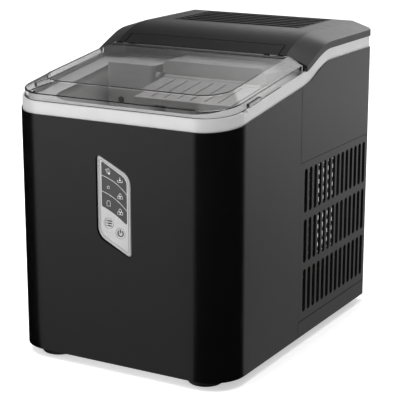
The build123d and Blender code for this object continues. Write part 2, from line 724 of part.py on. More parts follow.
def water_level_sensor():
    """Float switch low on the basin's rear wall."""
    return box((40, 52), (11.5, 17.9), (120, 150))


def water_pump():
    """Small pump standing in the basin."""
    pump = box((-86, -58), (-12, 16), (BASIN_FLOOR_Z + 2.1, 130))
    return pump + rod_z((129, 134), -83, 12, 3)


def pump_hose():
    """Hose from the pump to the tray."""
    return tube([(-83, 12, 134.1), (-83, 12, 243), (-8, 12, 243), (-8, 2, 243)], 3.3, 7.0)


# ---------------------------------------------------------------- machinery
def compressor():
    """Hermetic compressor shell on its mounting plate."""
    x, y = COMPRESSOR_XY
    shell = rod_z((21.5, 140), x, y, COMPRESSOR_R)
    shell = fillet(shell.edges().group_by(Axis.Z)[-1], 24)
    shell = fillet(shell.edges().group_by(Axis.Z)[0], 10)
    return shell + box((x - 48, x + 48), (y - 44, y + 44), (19.5, 22.5))


def compressor_grommets():
    """Rubber mounts under the compressor's plate."""
    x, y = COMPRESSOR_XY
    mounts = [rod_z((11, 19.5), x + sx * 40, y + sy * 36, 7) for sx in (-1, 1) for sy in (-1, 1)]
    return Compound(children=mounts)


def compressor_relay():
    """Start relay cover on the compressor's side."""
    x, y = COMPRESSOR_XY
    near = x + COMPRESSOR_R + 0.1
    return box((near, near + 15), (y - 12, y + 12), (48, 84))


def condenser_coil():
    """Serpentine condenser tube behind the right side vent."""
    points = []
    for row in range(COIL_PASSES):
        z = COIL_Z + COIL_PITCH * row
        ends = (COIL_Y[0] - 4.5, COIL_Y[1] + 4.5)
        near, far = ends if row % 2 == 0 else ends[::-1]
        points += [(COIL_X, near, z), (COIL_X, far, z)]
    return tube(points, 3.0, 4.4)


def condenser_fins():
    """Stack of thin cooling fins."""
    fins = [box((84, 98.8), (y, y + 0.8), (71, 180)) for y in range(28, 88, 4)]
    return Compound(children=fins)


def fan_shroud():
    """Square fan frame with a round throat and motor spokes."""
    shroud = box((62, 81), (FAN_Y - 40, FAN_Y + 40), (FAN_Z - 40, FAN_Z + 40))
    shroud -= rod_x((60, 83), FAN_Y, FAN_Z, FAN_R + 2.5)
    for angle in (45, 135, 225, 315):
        spoke = Pos(63.5, 0, 26.2) * Box(3, 3, 27.6)
        shroud += Pos(0, FAN_Y, FAN_Z) * Rot(angle, 0, 0) * spoke
    return shroud


def fan_motor():
    """Fan motor with its shaft."""
    return rod_x((40, 65), FAN_Y, FAN_Z, 12.2) + rod_x((64, 79), FAN_Y, FAN_Z, STUB_R)


def fan_blade():
    """Seven-bladed fan."""
    hub = rod_x((66.5, 77.5), FAN_Y, FAN_Z, 11)
    blade = Pos(72, 0, 21.5) * Rot(0, 0, 38) * Box(1.6, 15, 25)
    for index in range(7):
        hub += Pos(0, FAN_Y, FAN_Z) * Rot(360 / 7 * index, 0, 0) * blade
    hub &= rod_x((66.5, 77.8), FAN_Y, FAN_Z, FAN_R)
    return hub - rod_x((60, 80), FAN_Y, FAN_Z, STUB_R + 0.05)


def filter_drier():
    """Filter drier in the liquid line."""
    drier = rod_x((20, 70), 125, 60, 8)
    return fillet(drier.edges(), 3.0)


def refrigerant_tubes():
    """Tubes that join compressor, condenser, drier and evaporator."""
    x, y = COMPRESSOR_XY
    top = COIL_Z + COIL_PITCH * (COIL_PASSES - 1)
    z = EVAPORATOR_Z - 0.9
    return {
        "discharge_tube": tube([(x, y, 140.1), (x, y, 200), (COIL_X, y, 200), (COIL_X, 14, 200),
                                (COIL_X, 14, top), (COIL_X, 24.9, top)], 2.5, 5.0),
        "liquid_tube": tube([(COIL_X, 24.9, COIL_Z), (COIL_X, 14, COIL_Z), (COIL_X, 14, 60),
                             (COIL_X, 125, 60), (70.2, 125, 60)], 2.5, 5.0),
        "capillary_tube": tube([(19.8, 125, 60), (5, 125, 60), (5, 125, 230), (30, 125, 230), (30, 31, 230),
                                (30, 31, z), (30, 17.2, z)], 1.2, 5.0),
        "suction_tube": tube(
            [(12, 17.2, z), (12, 31, z), (12, 31, 100), (12, y, 100), (-2.7, y, 100)], 3.0, 6.0
        ),
    }


def hot_gas_valve():
    """Solenoid valve for the harvest cycle."""
    return box((42, 62), (84, 100), (204, 222)) + rod_z((221, 240), 52, 92, 8)


def control_board():
    """Main circuit board with its relays and transformer."""
    board = box((-101.6, -100), (50, 132), (160, 240))
    board += box((-100, -84), (58, 78), (170, 190))
    board += box((-100, -82), (88, 118), (172, 196))
    board += box((-100, -90), (60, 74), (206, 226))
    return board


def drain_spout():
    """Drain tube that ends in a round cup in the rear wall."""
    x, z = DRAIN_XZ
    spout = rod_y((112, 144), x, z, 7) + rod_y((141, REAR - 0.3), x, z, 9)
    spout -= rod_y((REAR - 3.3, REAR + 1), x, z, 8.4)
    return spout - rod_y((130, REAR), x, z, 5.0)


def drain_plug():
    """Pull-out drain plug with a finger bar."""
    x, z = DRAIN_XZ
    plug = rod_y((133, REAR - 1), x, z, 4.9) + rod_y((REAR - 3.0, REAR - 1.6), x, z, 8.0)
    return plug + box((x - 7, x + 7), (REAR - 2, REAR - 0.3), (z - 1.5, z + 1.5))


def power_inlet():
    """Recessed three-pin mains inlet."""
    x, z = INLET_XZ
    inlet = box((x - 14, x + 14), (REAR - 20, REAR - 0.3), (z - 10, z + 10))
    inlet -= box((x - 12, x + 12), (REAR - 18, REAR + 1), (z - 7.8, z + 7.8))
    for dx, dz in ((-7, -2), (7, -2), (0, 3)):
        inlet += box((x + dx - 1, x + dx + 1), (REAR - 18.5, REAR - 6), (z + dz - 2, z + dz + 2))
    return inlet


def main():
    """Build and write every sub-part."""
    os.makedirs("parts", exist_ok=True)
    parts = {
        "base_pan": base_pan(),
        "front_housing": front_housing(),
        "rear_housing": rear_housing(),
        "side_vent_left": side_vent(-1),
        "side_vent_right": side_vent(1),
        "trim_band": trim_band(),
        "top_cover": top_cover(),
        "top_vent_grille": top_vent_grille(),
        "hinge_strip": hinge_strip(),
        "housing_screws": housing_screws(),
        "lid": lid(),
        "lid_hinge_pins": lid_hinge_pins(),
        "panel_bezel": panel_bezel(),
        "display_window": display_window(),
        "select_button": button(*SELECT_XZ),
        "power_button": button(*POWER_XZ),
        "display_board": display_board(),
        "water_basin": water_basin(),
        "basin_insulation": basin_insulation(),
        "ice_basket": ice_basket(),
        "evaporator_frame": evaporator_frame(),
        "evaporator_plate": evaporator_plate(),
        "cooling_fingers": cooling_fingers(),
        "evaporator_coil": evaporator_coil(),
        "evaporator_cover": evaporator_cover(),
        "water_tray": water_tray(),
        "ice_shovel": ice_shovel(),
        "drive_housing": drive_housing(),
        "tray_motor": tray_motor(),
        "ice_full_sensor": ice_full_sensor(),
        "water_level_sensor": water_level_sensor(),
        "water_pump": water_pump(),
        "pump_hose": pump_hose(),
        "compressor": compressor(),
        "compressor_grommets": compressor_grommets(),
        "compressor_relay": compressor_relay(),
        "condenser_coil": condenser_coil(),
        "condenser_fins": condenser_fins(),
        "fan_shroud": fan_shroud(),
        "fan_motor": fan_motor(),
        "fan_blade": fan_blade(),
        "filter_drier": filter_drier(),
        "hot_gas_valve": hot_gas_valve(),
        "control_board": control_board(),
        "drain_spout": drain_spout(),
        "drain_plug": drain_plug(),
        "power_inlet": power_inlet(),
    }
    parts.update(refrigerant_tubes())
    for x, side in ((-FOOT_X, "left"), (FOOT_X, "right")):
        for y, end in ((-FOOT_Y, "front"), (FOOT_Y, "rear")):
            parts[f"foot_{end}_{side}"] = foot(x, y)
    for name, shape in parts.items():
        save(shape, name)


main()
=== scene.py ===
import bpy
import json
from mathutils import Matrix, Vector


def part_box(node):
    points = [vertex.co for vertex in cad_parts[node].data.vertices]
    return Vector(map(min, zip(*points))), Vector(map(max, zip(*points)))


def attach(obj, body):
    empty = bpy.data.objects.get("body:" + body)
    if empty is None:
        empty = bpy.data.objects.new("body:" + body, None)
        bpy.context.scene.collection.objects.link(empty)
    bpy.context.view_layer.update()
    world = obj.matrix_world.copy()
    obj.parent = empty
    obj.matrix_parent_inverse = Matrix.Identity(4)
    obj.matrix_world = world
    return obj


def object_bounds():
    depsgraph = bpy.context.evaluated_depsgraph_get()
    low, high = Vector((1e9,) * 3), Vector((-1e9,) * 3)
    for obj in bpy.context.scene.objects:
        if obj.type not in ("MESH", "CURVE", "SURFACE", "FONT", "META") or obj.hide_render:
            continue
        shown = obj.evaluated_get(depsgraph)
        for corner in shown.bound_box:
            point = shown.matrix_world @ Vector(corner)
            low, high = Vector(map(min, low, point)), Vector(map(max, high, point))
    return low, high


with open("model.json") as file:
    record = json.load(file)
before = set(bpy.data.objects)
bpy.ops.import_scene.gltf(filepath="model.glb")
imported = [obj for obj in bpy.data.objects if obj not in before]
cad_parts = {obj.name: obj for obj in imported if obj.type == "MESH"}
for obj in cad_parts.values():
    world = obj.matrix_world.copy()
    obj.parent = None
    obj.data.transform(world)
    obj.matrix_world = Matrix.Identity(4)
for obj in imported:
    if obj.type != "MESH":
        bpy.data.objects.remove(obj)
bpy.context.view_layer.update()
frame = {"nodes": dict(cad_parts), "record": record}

import json
import math

import bmesh
import bpy
from mathutils import Matrix, Vector

# Looks of a countertop ice maker, in metres. Front is -Y, right is +X, the floor is z = 0.

NODES = frame["nodes"]
(LOW, HIGH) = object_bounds()
FRONT_Y = LOW.y
REAR_Y = HIGH.y
SIDE_X = HIGH.x
FRONT_RADIUS = 0.033

# The rim under the lid slopes up to the back. Heights over it are square to it.
RIM_FRONT_Z = 0.241
RIM_SLOPE = 0.134
RIM_ANGLE = math.atan(RIM_SLOPE)
LEDGE_DROP = 0.004
# Depth below the ledge over which painted shade darkens the tub walls.
TUB_SHADE_DEPTH = 0.070

# The lid: a skirt that rises to a flat top with rounded front corners.
LID_INSET = 0.0039
LID_RISE = 0.014
LID_TOP_HALF_X = 0.095
LID_TOP_FRONT = 0.0226
LID_TOP_REAR = 0.1488
LID_TOP_RADIUS = 0.025
BEND_STEPS = 14
SEAL_RADIUS = 0.00042
SEAL_REAR = 0.105
TOP_EDGE_RADIUS = 0.00046
TOP_EDGE_REAR = 0.090

# The control panel: a slanted four-sided plate, two corners sharp and two blunt.
PANEL_MID_Z = 0.1557
PANEL_HALF_X = 0.0170
PANEL_TALL_Z = 0.0453
PANEL_SHORT_Z = 0.0283
SHARP_PULL = 1.618  # how far a sharp corner's height comes in, for each metre that the outline does
BLUNT_PULL = 0.618
WINDOW_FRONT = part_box("display_window")[0].y
PANEL_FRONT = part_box("panel_bezel")[0].y
SELECT_X, SELECT_Z = -0.0059, 0.1394
POWER_X, POWER_Z = 0.0061, 0.1317
PRINT_RADIUS = 0.00044

# Height of one condenser tube, the step from tube to tube, and how far back the painted glint on them
# begins.
COIL_Z = 0.076
COIL_PITCH = 0.009
COIL_PAINTED_GLINT_Y = 0.0425


# ------------------------------------------------------------------ materials
def new_material(name):
    """Empty node material and its Principled shader."""
    material = bpy.data.materials.new(name)
    material.use_nodes = True
    shader = material.node_tree.nodes["Principled BSDF"]
    return material, shader


def noise(tree, scale, detail=3.0, rough=0.55, stretch=(1, 1, 1)):
    """Noise in object coordinates, which are metres."""
    place = tree.nodes.new("ShaderNodeTexCoord")
    mapping = tree.nodes.new("ShaderNodeMapping")
    mapping.inputs["Scale"].default_value = stretch
    texture = tree.nodes.new("ShaderNodeTexNoise")
    texture.inputs["Scale"].default_value = scale
    texture.inputs["Detail"].default_value = detail
    texture.inputs["Roughness"].default_value = rough
    tree.links.new(place.outputs["Object"], mapping.inputs["Vector"])
    tree.links.new(mapping.outputs["Vector"], texture.inputs["Vector"])
    return texture.outputs["Fac"]


def ramp(tree, factor, low, high, start=0.3, end=0.7):
    """Two-colour ramp over a factor."""
    node = tree.nodes.new("ShaderNodeValToRGB")
    node.color_ramp.elements[0].position = start
    node.color_ramp.elements[1].position = end
    node.color_ramp.elements[0].color = (*low, 1)
    node.color_ramp.elements[1].color = (*high, 1)
    tree.links.new(factor, node.inputs["Fac"])
    return node.outputs["Color"]


def spread(tree, factor, low, high):
    """A factor mapped onto a number range."""
    node = tree.nodes.new("ShaderNodeMapRange")
    node.inputs["From Min"].default_value = 0.3
    node.inputs["From Max"].default_value = 0.7
    node.inputs["To Min"].default_value = low
    node.inputs["To Max"].default_value = high
    tree.links.new(factor, node.inputs["Value"])
    return node.outputs["Result"]


def math_node(tree, operation, first, second=None):
    """Result of one arithmetic node; each input is a link or a number."""
    node = tree.nodes.new("ShaderNodeMath")
    node.operation = operation
    for slot, value in zip(node.inputs, (first, second)):
        if isinstance(value, (int, float)):
            slot.default_value = value
        elif value is not None:
            tree.links.new(value, slot)
    return node.outputs["Value"]


def smooth_between(tree, value, low, high, at_low, at_high):
    """Smooth change from one number to another as a value crosses a range."""
    node = tree.nodes.new("ShaderNodeMapRange")
    node.interpolation_type = "SMOOTHSTEP"
    node.inputs["From Min"].default_value = low
    node.inputs["From Max"].default_value = high
    node.inputs["To Min"].default_value = at_low
    node.inputs["To Max"].default_value = at_high
    tree.links.new(value, node.inputs["Value"])
    return node.outputs["Result"]


def bump(tree, shader, height, depth, strength):
    """Surface relief of the given depth in metres."""
    node = tree.nodes.new("ShaderNodeBump")
    node.inputs["Strength"].default_value = strength
    node.inputs["Distance"].default_value = depth
    tree.links.new(height, node.inputs["Height"])
    tree.links.new(node.outputs["Normal"], shader.inputs["Normal"])


def moulded(name, dark, light, rough, grain=1400, relief=0.25, metallic=0.0, specular=0.5, mottle=45):
    """Moulded plastic, paint or rubber: faint mottling, moulded grain, uneven gloss."""
    material, shader = new_material(name)
    tree = material.node_tree
    cloud = noise(tree, mottle, 4.0)
    tree.links.new(ramp(tree, cloud, dark, light), shader.inputs["Base Color"])
    tree.links.new(spread(tree, noise(tree, mottle * 2.3), *rough), shader.inputs["Roughness"])
    shader.inputs["Metallic"].default_value = metallic
    shader.inputs["Specular IOR Level"].default_value = specular
    bump(tree, shader, noise(tree, grain, 2.0), 0.00006, relief)
    return material


def drawn_metal(name, dark, light, rough, stretch, grain=260):
    """Metal with fine drawing or rolling lines along one direction."""
    material, shader = new_material(name)
    tree = material.node_tree
    lines = noise(tree, grain, 4.0, 0.6, stretch)
    tree.links.new(ramp(tree, lines, dark, light), shader.inputs["Base Color"])
    tree.links.new(spread(tree, lines, *rough), shader.inputs["Roughness"])
    shader.inputs["Metallic"].default_value = 1.0
    bump(tree, shader, lines, 0.00003, 0.25)
    return material


def clear_plastic(name, dark, light, rough=(0.0, 0.03), ripple=0.02, density=0):
    """Tinted see-through plastic with faint handling haze."""
    material, shader = new_material(name)
    tree = material.node_tree
    haze = noise(tree, 30, 4.0)
    tree.links.new(ramp(tree, haze, dark, light), shader.inputs["Base Color"])
    tree.links.new(spread(tree, haze, *rough), shader.inputs["Roughness"])
    shader.inputs["Transmission Weight"].default_value = 1.0
    shader.inputs["IOR"].default_value = 1.46
    bump(tree, shader, noise(tree, 12, 1.0), 0.0002, ripple)
    if density:
        absorb = tree.nodes.new("ShaderNodeVolumeAbsorption")
        absorb.inputs["Color"].default_value = (0.2, 0.2, 0.205, 1)
        absorb.inputs["Density"].default_value = density
        tree.links.new(absorb.outputs["Volume"], tree.nodes["Material Output"].inputs["Volume"])
    return material


def glowing(name, colour, strength):
    """Printed symbol: pale ink with a faint painted glow, as if lit from behind."""
    material, shader = new_material(name)
    tree = material.node_tree
    ink = ramp(tree, noise(tree, 900), tuple(c * 0.9 for c in colour), colour)
    tree.links.new(ink, shader.inputs["Base Color"])
    shader.inputs["Emission Color"].default_value = (*colour, 1)
    shader.inputs["Emission Strength"].default_value = strength
    shader.inputs["Roughness"].default_value = 0.5
    return material


BODY = moulded("body_black", (0.0016, 0.0016, 0.0017), (0.0024, 0.0024, 0.0025), (0.20, 0.25), grain=3000,
               relief=0.06, specular=0.46)
COVER = moulded("cover_black", (0.002, 0.002, 0.0021), (0.003, 0.003, 0.0031), (0.28, 0.33), grain=3000,
                relief=0.05, specular=0.46)
SILVER = moulded("silver_trim", (0.66, 0.66, 0.66), (0.69, 0.69, 0.69), (0.30, 0.36), grain=900,
                 relief=0.012, metallic=0.35)
PANEL = moulded("panel_silver", (0.57, 0.57, 0.57), (0.63, 0.63, 0.63), (0.22, 0.28), grain=900,
                relief=0.012, metallic=0.5)
SMOKE = clear_plastic("smoke_clear", (0.97, 0.97, 0.975), (0.99, 0.99, 0.995), density=120)
WINDOW = moulded("window_black", (0.044, 0.044, 0.045), (0.052, 0.052, 0.053), (0.10, 0.14), relief=0.02)
PALE = moulded("pale_grey", (0.27, 0.265, 0.26), (0.31, 0.305, 0.30), (0.36, 0.44), relief=0.1)
GRILLE = moulded("grille_black", (0.002, 0.002, 0.002), (0.003, 0.003, 0.003), (0.45, 0.55), relief=0.1,
                 specular=0.2)
GREY = moulded("mid_grey", (0.31, 0.305, 0.30), (0.35, 0.345, 0.34), (0.40, 0.48), relief=0.12)
FOAM = moulded("foam", (0.62, 0.60, 0.54), (0.72, 0.70, 0.64), (0.85, 0.95), grain=500, relief=0.8,
               specular=0.2)
RUBBER = moulded("foot_rubber", (0.004, 0.004, 0.004), (0.007, 0.007, 0.007), (0.5, 0.6), grain=1200,
                 relief=0.3, specular=0.3)
DARK = moulded("machine_black", (0.004, 0.004, 0.0042), (0.007, 0.007, 0.0072), (0.4, 0.55))
BOARD = moulded("circuit_green", (0.012, 0.07, 0.028), (0.02, 0.11, 0.045), (0.3, 0.4), mottle=220)
HOSE = clear_plastic("hose_clear", (0.75, 0.75, 0.72), (0.85, 0.85, 0.82), (0.2, 0.3))
STEEL = drawn_metal("zinc_steel", (0.42, 0.42, 0.42), (0.58, 0.58, 0.58), (0.28, 0.42), (1, 1, 14))
ZINC = drawn_metal("galvanised", (0.36, 0.37, 0.38), (0.52, 0.53, 0.54), (0.35, 0.5), (1, 3, 1), 60)
COPPER = drawn_metal("copper", (0.34, 0.18, 0.12), (0.50, 0.28, 0.19), (0.25, 0.4), (3, 1, 3), 120)
NICKEL = drawn_metal("nickel", (0.55, 0.54, 0.52), (0.70, 0.69, 0.67), (0.16, 0.26), (1, 1, 6))
FIN = drawn_metal("fin_aluminium", (0.60, 0.61, 0.62), (0.74, 0.75, 0.76), (0.3, 0.45), (1, 1, 10))

# Signs in the window: pale print with a faint painted glow.
PAINTED_GLOW_INK = glowing("symbol_white_painted_glow", (0.75, 0.75, 0.75), 0.12)
PRINT = moulded("symbol_dark", (0.010, 0.010, 0.010), (0.014, 0.014, 0.014), (0.4, 0.5), relief=0.05)


def tub_painted_shade_material():
    """Pale tub moulding: greyer on its ledge under the rim, lighter on the walls below it, with painted
    shade darkening the walls a little the deeper they lie.
    """
    material, shader = new_material("tub_grey_painted_shade")
    tree = material.node_tree
    place = tree.nodes.new("ShaderNodeTexCoord")
    along = tree.nodes.new("ShaderNodeVectorMath")
    along.operation = "DOT_PRODUCT"
    along.inputs[1].default_value = (0, -RIM_SLOPE, 1)
    tree.links.new(place.outputs["Object"], along.inputs[0])
    # Painted shade: the walls turn a little darker the deeper they lie below the ledge.
    depth = tree.nodes.new("ShaderNodeMapRange")
    ledge = RIM_FRONT_Z - RIM_SLOPE * FRONT_Y - LEDGE_DROP
    depth.inputs["From Min"].default_value = ledge - TUB_SHADE_DEPTH
    depth.inputs["From Max"].default_value = ledge
    tree.links.new(along.outputs["Value"], depth.inputs["Value"])
    colour = ramp(tree, depth.outputs["Result"], (0.72, 0.71, 0.70), (0.78, 0.77, 0.76), 0.0, 0.9)
    rim_stop = colour.node.color_ramp.elements.new(0.985)
    rim_stop.color = (0.44, 0.435, 0.43, 1)
    tree.links.new(colour, shader.inputs["Base Color"])
    tree.links.new(spread(tree, noise(tree, 60), 0.36, 0.46), shader.inputs["Roughness"])
    bump(tree, shader, noise(tree, 2200, 2.0), 0.00004, 0.1)
    return material


def painted_glint_tube_material():
    """Condenser tubes: towards the rear a painted glint along their crowns, which also glows though the
    tubes are no lamp; elsewhere black.
    """
    material, shader = new_material("condenser_painted_glint")
    tree = material.node_tree
    place = tree.nodes.new("ShaderNodeTexCoord")
    split = tree.nodes.new("ShaderNodeSeparateXYZ")
    tree.links.new(place.outputs["Object"], split.inputs["Vector"])
    # Painted glint: a bright, glowing band round the middle of each tube's height, from a set depth back.
    turns = math_node(tree, "DIVIDE", math_node(tree, "SUBTRACT", split.outputs["Z"], COIL_Z), COIL_PITCH)
    fraction = math_node(tree, "FRACT", math_node(tree, "ADD", turns, 0.5))
    off_centre = math_node(tree, "ABSOLUTE", math_node(tree, "SUBTRACT", fraction, 0.5))
    glint_band = smooth_between(tree, off_centre, 0.20, 0.27, 1, 0)
    start, end = COIL_PAINTED_GLINT_Y - 0.0025, COIL_PAINTED_GLINT_Y + 0.0025
    glint_mask = math_node(tree, "MULTIPLY", glint_band, smooth_between(tree, split.outputs["Y"], start, end, 0, 1))
    colour = ramp(tree, glint_mask, (0.01, 0.01, 0.01), (0.8, 0.8, 0.8), 0.0, 1.0)
    tree.links.new(colour, shader.inputs["Base Color"])
    tree.links.new(colour, shader.inputs["Emission Color"])
    shader.inputs["Emission Strength"].default_value = 0.6
    tree.links.new(spread(tree, noise(tree, 400), 0.3, 0.45), shader.inputs["Roughness"])
    return material


def slotted_material():
    """Body black on the vent's face, dull black on the walls of its slots."""
    material, shader = new_material("vent_black")
    tree = material.node_tree
    place = tree.nodes.new("ShaderNodeTexCoord")
    split = tree.nodes.new("ShaderNodeSeparateXYZ")
    tree.links.new(place.outputs["Normal"], split.inputs["Vector"])
    facing = math_node(tree, "ABSOLUTE", split.outputs["X"])
    rough = smooth_between(tree, facing, 0.4, 0.9, 0.95, 0.0)
    polish = spread(tree, noise(tree, 100), 0.20, 0.25)
    tree.links.new(math_node(tree, "MAXIMUM", rough, polish), shader.inputs["Roughness"])
    colour = ramp(tree, noise(tree, 45, 4.0), (0.0016, 0.0016, 0.0017), (0.0024, 0.0024, 0.0025))
    tree.links.new(colour, shader.inputs["Base Color"])
    shader.inputs["Specular IOR Level"].default_value = 0.46
    bump(tree, shader, noise(tree, 3000, 2.0), 0.00006, 0.06)
    return material


TUB_PAINTED_SHADE = tub_painted_shade_material()
PAINTED_GLINT_TUBES = painted_glint_tube_material()
VENT = slotted_material()

SLOT_LOOKS = {
    "black_shell": BODY, "cover_black": COVER, "silver_trim": SILVER, "smoke_clear": SMOKE,
    "dark_window": WINDOW, "light_grey": PALE, "mid_grey": GREY, "foam": FOAM, "foot_rubber": RUBBER,
    "steel": STEEL, "galvanised": ZINC, "copper": COPPER, "nickel": NICKEL, "fin_aluminium": FIN,
    "compressor_black": DARK, "circuit_green": BOARD, "hose_clear": HOSE,
}


SPECIAL_LOOKS = (
    (PANEL, ("panel_bezel", "select_button", "power_button")),
    (GRILLE, ("top_vent_grille",)),
    (TUB_PAINTED_SHADE, ("water_basin",)),
    (PAINTED_GLINT_TUBES, ("condenser_coil",)),
    (VENT, ("side_vent_left", "side_vent_right")),
)


def dress_cad_nodes():
    """Give every CAD node the finish of its slot."""
    for part in frame["record"]["subparts"]:
        mesh = NODES[part["node"]].data
        mesh.materials.clear()
        mesh.materials.append(SLOT_LOOKS[part["material_slot"]])
    for look, names in SPECIAL_LOOKS:
        for name in names:
            NODES[name].data.materials[0] = look


dress_cad_nodes()
NODES["lid"].visible_shadow = False


# ------------------------------------------------------------------ mesh helpers
def arc(centre, radius, first, last, steps=16):
    """Points along an arc in X-Z, degrees from +X towards +Z."""
    turns = [math.radians(first + (last - first) * i / steps) for i in range(steps + 1)]
    return [(centre[0] + radius * math.cos(t), centre[1] + radius * math.sin(t)) for t in turns]


def arc_through(start, middle, end, steps=20):
    """Points along the circle through three places in X-Z."""
    (ax, az), (bx, bz), (cx, cz) = start, middle, end
    span = 2 * (ax * (bz - cz) + bx * (cz - az) + cx * (az - bz))
    a2, b2, c2 = ax * ax + az * az, bx * bx + bz * bz, cx * cx + cz * cz
    centre = ((a2 * (bz - cz) + b2 * (cz - az) + c2 * (az - bz)) / span,
              (a2 * (cx - bx) + b2 * (ax - cx) + c2 * (bx - ax)) / span)
    radius = math.dist(centre, start)
    first = math.degrees(math.atan2(az - centre[1], ax - centre[0]))
    last = math.degrees(math.atan2(cz - centre[1], cx - centre[0]))
    return arc(centre, radius, first, last, steps)


def rounded(corners, radii, steps=8):
    """Closed outline with each corner rounded, in X-Z."""
    points = []
    count = len(corners)
    for i, radius in enumerate(radii):
        here = Vector(corners[i])
        back = (Vector(corners[i - 1]) - here).normalized()
        ahead = (Vector(corners[(i + 1) % count]) - here).normalized()
        half = back.angle(ahead) / 2
        reach = radius / math.tan(half)
        centre = here + (back + ahead).normalized() * radius / math.sin(half)
        first = here + back * reach - centre
        last = here + ahead * reach - centre
        turn = first.angle_signed(last)
        for step in range(steps + 1):
            spoke = Matrix.Rotation(-turn * step / steps, 2) @ first
            points.append(tuple(centre + spoke))
    return points


def finish_piece(piece, material, body):
    """Put a new piece in the scene, on its body and in its slot."""
    piece.data.materials.append(material)
    bpy.context.scene.collection.objects.link(piece)
    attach(piece, body)
    return piece


def stroke(name, lines, y, radius, material, body="machine", closed=False):
    """Raised round line work on the front, each line a list of X-Z places."""
    curve = bpy.data.curves.new(name, "CURVE")
    curve.dimensions = "3D"
    curve.bevel_depth = radius
    curve.bevel_resolution = 2
    curve.use_fill_caps = True
    for line in lines:
        spline = curve.splines.new("POLY")
        spline.points.add(len(line) - 1)
        for point, (x, z) in zip(spline.points, line):
            point.co = (x, y, z, 1)
        spline.use_cyclic_u = closed
    return finish_piece(bpy.data.objects.new(name, curve), material, body)


def tiles(name, outlines, y, thick, material, body="machine"):
    """Small flat raised shapes on the front, each outline a list of X-Z places."""
    mesh = bpy.data.meshes.new(name)
    solid = bmesh.new()
    for outline in outlines:
        front = [solid.verts.new((x, y - thick, z)) for x, z in outline]
        back = [solid.verts.new((x, y, z)) for x, z in outline]
        solid.faces.new(front)
        solid.faces.new(back[::-1])
        count = len(outline)
        for i in range(count):
            j = (i + 1) % count
            solid.faces.new((front[i], back[i], back[j], front[j]))
    bmesh.ops.recalc_face_normals(solid, faces=solid.faces)
    solid.to_mesh(mesh)
    solid.free()
    return finish_piece(bpy.data.objects.new(name, mesh), material, body)


def bullet(x, z, width, height):
    """Outline of one bullet-shaped ice cube."""
    half = width / 2
    glint_band = arc((x, z + height / 2 - half), half, 0, 180, 10)
    return [(x + half, z - height / 2), *glint_band, (x - half, z - height / 2)]


def cube_outline(x, z, size, turn):
    """Square turned by some degrees."""
    return [(x + size * math.cos(math.radians(turn + q)), z + size * math.sin(math.radians(turn + q)))
            for q in (45, 135, 225, 315)]


# ------------------------------------------------------------------ control panel
def panel_loop(inset, sharp, blunt):
    """Outline of the slanted panel, moved inwards."""
    half = PANEL_HALF_X - inset
    tall = PANEL_TALL_Z - SHARP_PULL * inset
    short = PANEL_SHORT_Z - BLUNT_PULL * inset
    corners = [(-half, tall), (half, short), (half, -tall), (-half, -short)]
    loop = rounded(corners, (sharp, blunt, sharp, blunt))
    return [(x, z + PANEL_MID_Z) for x, z in loop]


def panel_rims():
    """Silver outer rim, fine inner line, a dark line of painted shade in the gap round the plate, and the
    window's dividers.
    """
    stroke("panel_rim", [panel_loop(0.0008, 0.0020, 0.0122)], PANEL_FRONT + 0.0003, 0.0007, PANEL,
           closed=True)
    stroke("panel_inner_line", [panel_loop(0.0024, 0.0012, 0.0108)], PANEL_FRONT + 0.0001, 0.00022, PRINT,
           closed=True)
    # Painted shade: a dark bead in the gap round the plate, over the silver flange behind it.
    stroke("panel_gap_painted_shade", [panel_loop(-0.0005, 0.0028, 0.0135)], PANEL_FRONT + 0.0010, 0.00045, RUBBER,
           closed=True)
    upper = arc_through((-0.0128, 0.1821), (0.0002, 0.1774), (0.0129, 0.1675))
    lower = arc_through((-0.0128, 0.1679), (-0.0001, 0.1628), (0.0129, 0.1527))
    stroke("window_dividers", [upper, lower], WINDOW_FRONT, 0.0004, PANEL)


def window_symbols():
    """Generic signs in the window, two in each of its three fields: ice full, water, and sizes of cube."""
    full = ((-0.0017, 0.0013, 20), (0.0004, 0.0021, 5), (0.0017, 0.0002, 40), (-0.0007, -0.0007, 12))
    cubes = [cube_outline(-0.0063 + x, 0.1862 + z, 0.00095, turn) for x, z, turn in full]
    stroke("ice_full_symbol", cubes, WINDOW_FRONT, 0.00016, PAINTED_GLOW_INK, closed=True)
    arrow = [(0.0048, 0.1800), (0.0060, 0.1786), (0.0072, 0.1800)]
    solid_cube = cube_outline(-0.0052, 0.1845, 0.0011, 30)
    tiles("indicator_marks", [arrow, solid_cube], WINDOW_FRONT, 0.0001, PAINTED_GLOW_INK)
    tray = [(0.0036, 0.1797), (0.0036, 0.1779), (0.0084, 0.1779), (0.0084, 0.1797)]
    shaft = [(0.0060, 0.1822), (0.0060, 0.1796)]
    stroke("water_symbol", [tray, shaft], WINDOW_FRONT, 0.00024, PAINTED_GLOW_INK)
    bullets = [bullet(-0.0061, 0.1719, 0.0021, 0.0024), bullet(-0.0061, 0.1575, 0.0036, 0.0050)]
    for x, z, width, height in ((0.0060, 0.1651, 0.0023, 0.0026), (0.0059, 0.1509, 0.0025, 0.0029)):
        for across, up in ((-0.58, -0.28), (0.58, -0.28), (0.0, 0.52)):
            bullets.append(bullet(x + across * width, z + up * height, width, height))
    stroke("cube_size_symbols", bullets, WINDOW_FRONT, 0.00019, PAINTED_GLOW_INK, closed=True)


